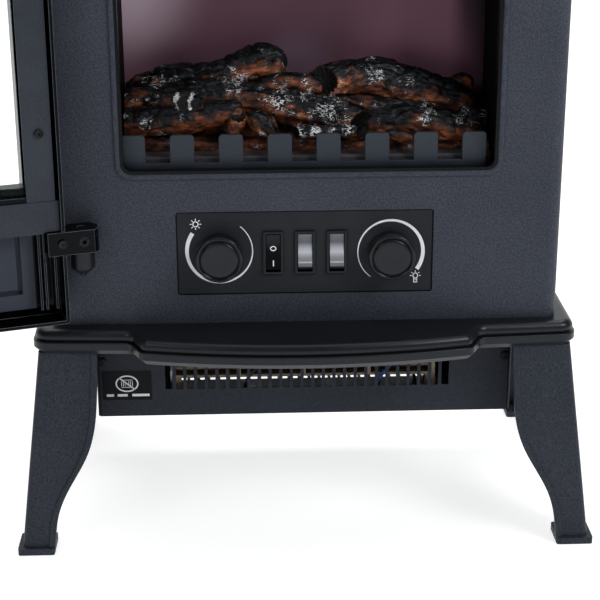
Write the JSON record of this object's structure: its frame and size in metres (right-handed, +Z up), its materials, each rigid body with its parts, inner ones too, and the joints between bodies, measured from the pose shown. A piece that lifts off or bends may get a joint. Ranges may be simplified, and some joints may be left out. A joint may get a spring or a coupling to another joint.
{
  "type": "electric fireplace",
  "caption": "Free-standing electric stove with an opening door, log-effect firebox, rotary dials, rocker switches and a blower heater on four splayed legs.",
  "frame": {"origin": "floor level, at the middle of the floor area that the stove covers with its door open", "axes": "+Z up, +X to the right as seen from the front, -Y out of the front where the fire window and controls are"},
  "size_m": [0.6422, 0.3478, 0.54],
  "materials": {
    "cabinet_paint": "fine textured satin",
    "top_paint": "satin",
    "plinth_black": "satin",
    "leg_paint": "satin",
    "zinc_steel": "zinc plated",
    "spring_steel": "satin",
    "gland_black": "moulded",
    "terminal_ivory": "moulded",
    "firebox_black": "matt",
    "shelf_grey": "matt",
    "fence_grey": "matt",
    "charred_log": "rough cast, painted",
    "smoked_screen": "translucent satin",
    "bare_aluminium": "polished",
    "galvanised": "galvanised",
    "porcelain": "fired",
    "lamp_glass": "clear",
    "plate_black": "matt, printed marks",
    "switch_black": "gloss",
    "rocker_grey": "smoked lens",
    "control_body": "moulded",
    "knob_black": "satin",
    "brass_plain": "turned",
    "door_black": "gloss",
    "retainer_satin": "satin",
    "door_glass": "clear toughened",
    "hinge_black": "gloss",
    "magnet_nickel": "nickel plated",
    "label_white": "printed film",
    "impeller_alu": "rolled",
    "lamination": "stacked sheet",
    "copper_coil": "enamelled wire",
    "mica": "matt",
    "heating_wire": "oxidised",
    "cutout_black": "moulded",
    "lead_sleeve": "sleeved wire"
  },
  "bodies": {
    "cabinet": {"cabinet_shell": "cabinet_paint", "rear_cover": "cabinet_paint", "top_cover": "top_paint", "plinth": "plinth_black", "leg_front_left": "leg_paint", "leg_front_right": "leg_paint", "leg_rear_left": "leg_paint", "leg_rear_right": "leg_paint", "cabinet_screws": "zinc_steel", "cable_gland": "gland_black", "terminal_block": "terminal_ivory", "window_trim": "firebox_black", "firebox_shroud": "firebox_black", "fire_shelf": "shelf_grey", "ember_fence": "fence_grey", "log_set": "charred_log", "flame_screen": "smoked_screen", "flame_stencil": "bare_aluminium", "spindle_motor": "galvanised", "spindle_supports": "galvanised", "lamp_bracket": "galvanised", "lamp_holders": "porcelain", "flame_lamps": "lamp_glass", "control_plate": "plate_black", "switch_housings": "switch_black", "thermostat": "control_body", "dimmer": "control_body", "neck_nuts": "brass_plain", "door_knuckles": "hinge_black", "heater_housing": "cabinet_paint", "base_tray": "galvanised", "caution_label": "label_white", "blower_casing": "galvanised", "blower_bearings": "brass_plain", "motor_stator": "lamination", "motor_coil": "copper_coil", "element_frame": "mica", "heating_coils": "heating_wire", "thermal_cutout": "cutout_black", "heater_leads": "lead_sleeve"},
    "door": {"door_frame": "door_black", "door_glass": "door_glass", "glass_retainers": "retainer_satin", "door_screws": "zinc_steel", "door_handle": "door_black", "catch_magnets": "magnet_nickel", "hinge_arms": "hinge_black", "hinge_pins": "spring_steel"},
    "power_switch": {"power_rocker": "switch_black"},
    "low_heat_switch": {"low_heat_rocker": "rocker_grey"},
    "high_heat_switch": {"high_heat_rocker": "rocker_grey"},
    "thermostat_dial": {"thermostat_knob": "knob_black", "thermostat_shaft": "spring_steel"},
    "dimmer_dial": {"dimmer_knob": "knob_black", "dimmer_shaft": "spring_steel"},
    "flicker_rotor": {"flicker_spindle": "bare_aluminium"},
    "blower_rotor": {"impeller": "impeller_alu", "blower_shaft": "spring_steel", "motor_rotor": "lamination"}
  },
  "joints": [
    {"name": "door_swing", "type": "hinge", "parent": "cabinet", "child": "door", "pos_m": [-0.0363, -0.0737, 0.227], "axis": [0, 0, 1], "range_deg": [-8, 162]},
    {"name": "power_rocker_tilt", "type": "hinge", "parent": "cabinet", "child": "power_switch", "pos_m": [0.0923, -0.057, 0.2185], "axis": [1, 0, 0], "range_deg": [0, 24]},
    {"name": "low_heat_rocker_tilt", "type": "hinge", "parent": "cabinet", "child": "low_heat_switch", "pos_m": [0.1141, -0.057, 0.2185], "axis": [1, 0, 0], "range_deg": [0, 24]},
    {"name": "high_heat_rocker_tilt", "type": "hinge", "parent": "cabinet", "child": "high_heat_switch", "pos_m": [0.1359, -0.057, 0.2185], "axis": [1, 0, 0], "range_deg": [0, 24]},
    {"name": "thermostat_turn", "type": "hinge", "parent": "cabinet", "child": "thermostat_dial", "pos_m": [0.0556, -0.06, 0.2185], "axis": [0, 1, 0], "range_deg": [0, 285]},
    {"name": "dimmer_turn", "type": "hinge", "parent": "cabinet", "child": "dimmer_dial", "pos_m": [0.1726, -0.06, 0.2185], "axis": [0, 1, 0], "range_deg": [0, 270]},
    {"name": "flicker_spin", "type": "hinge", "parent": "cabinet", "child": "flicker_rotor", "pos_m": [0.1173, 0.0619, 0.302], "axis": [1, 0, 0], "continuous": true},
    {"name": "blower_spin", "type": "hinge", "parent": "cabinet", "child": "blower_rotor", "pos_m": [0.1061, 0.0234, 0.121], "axis": [1, 0, 0], "continuous": true}
  ]
}
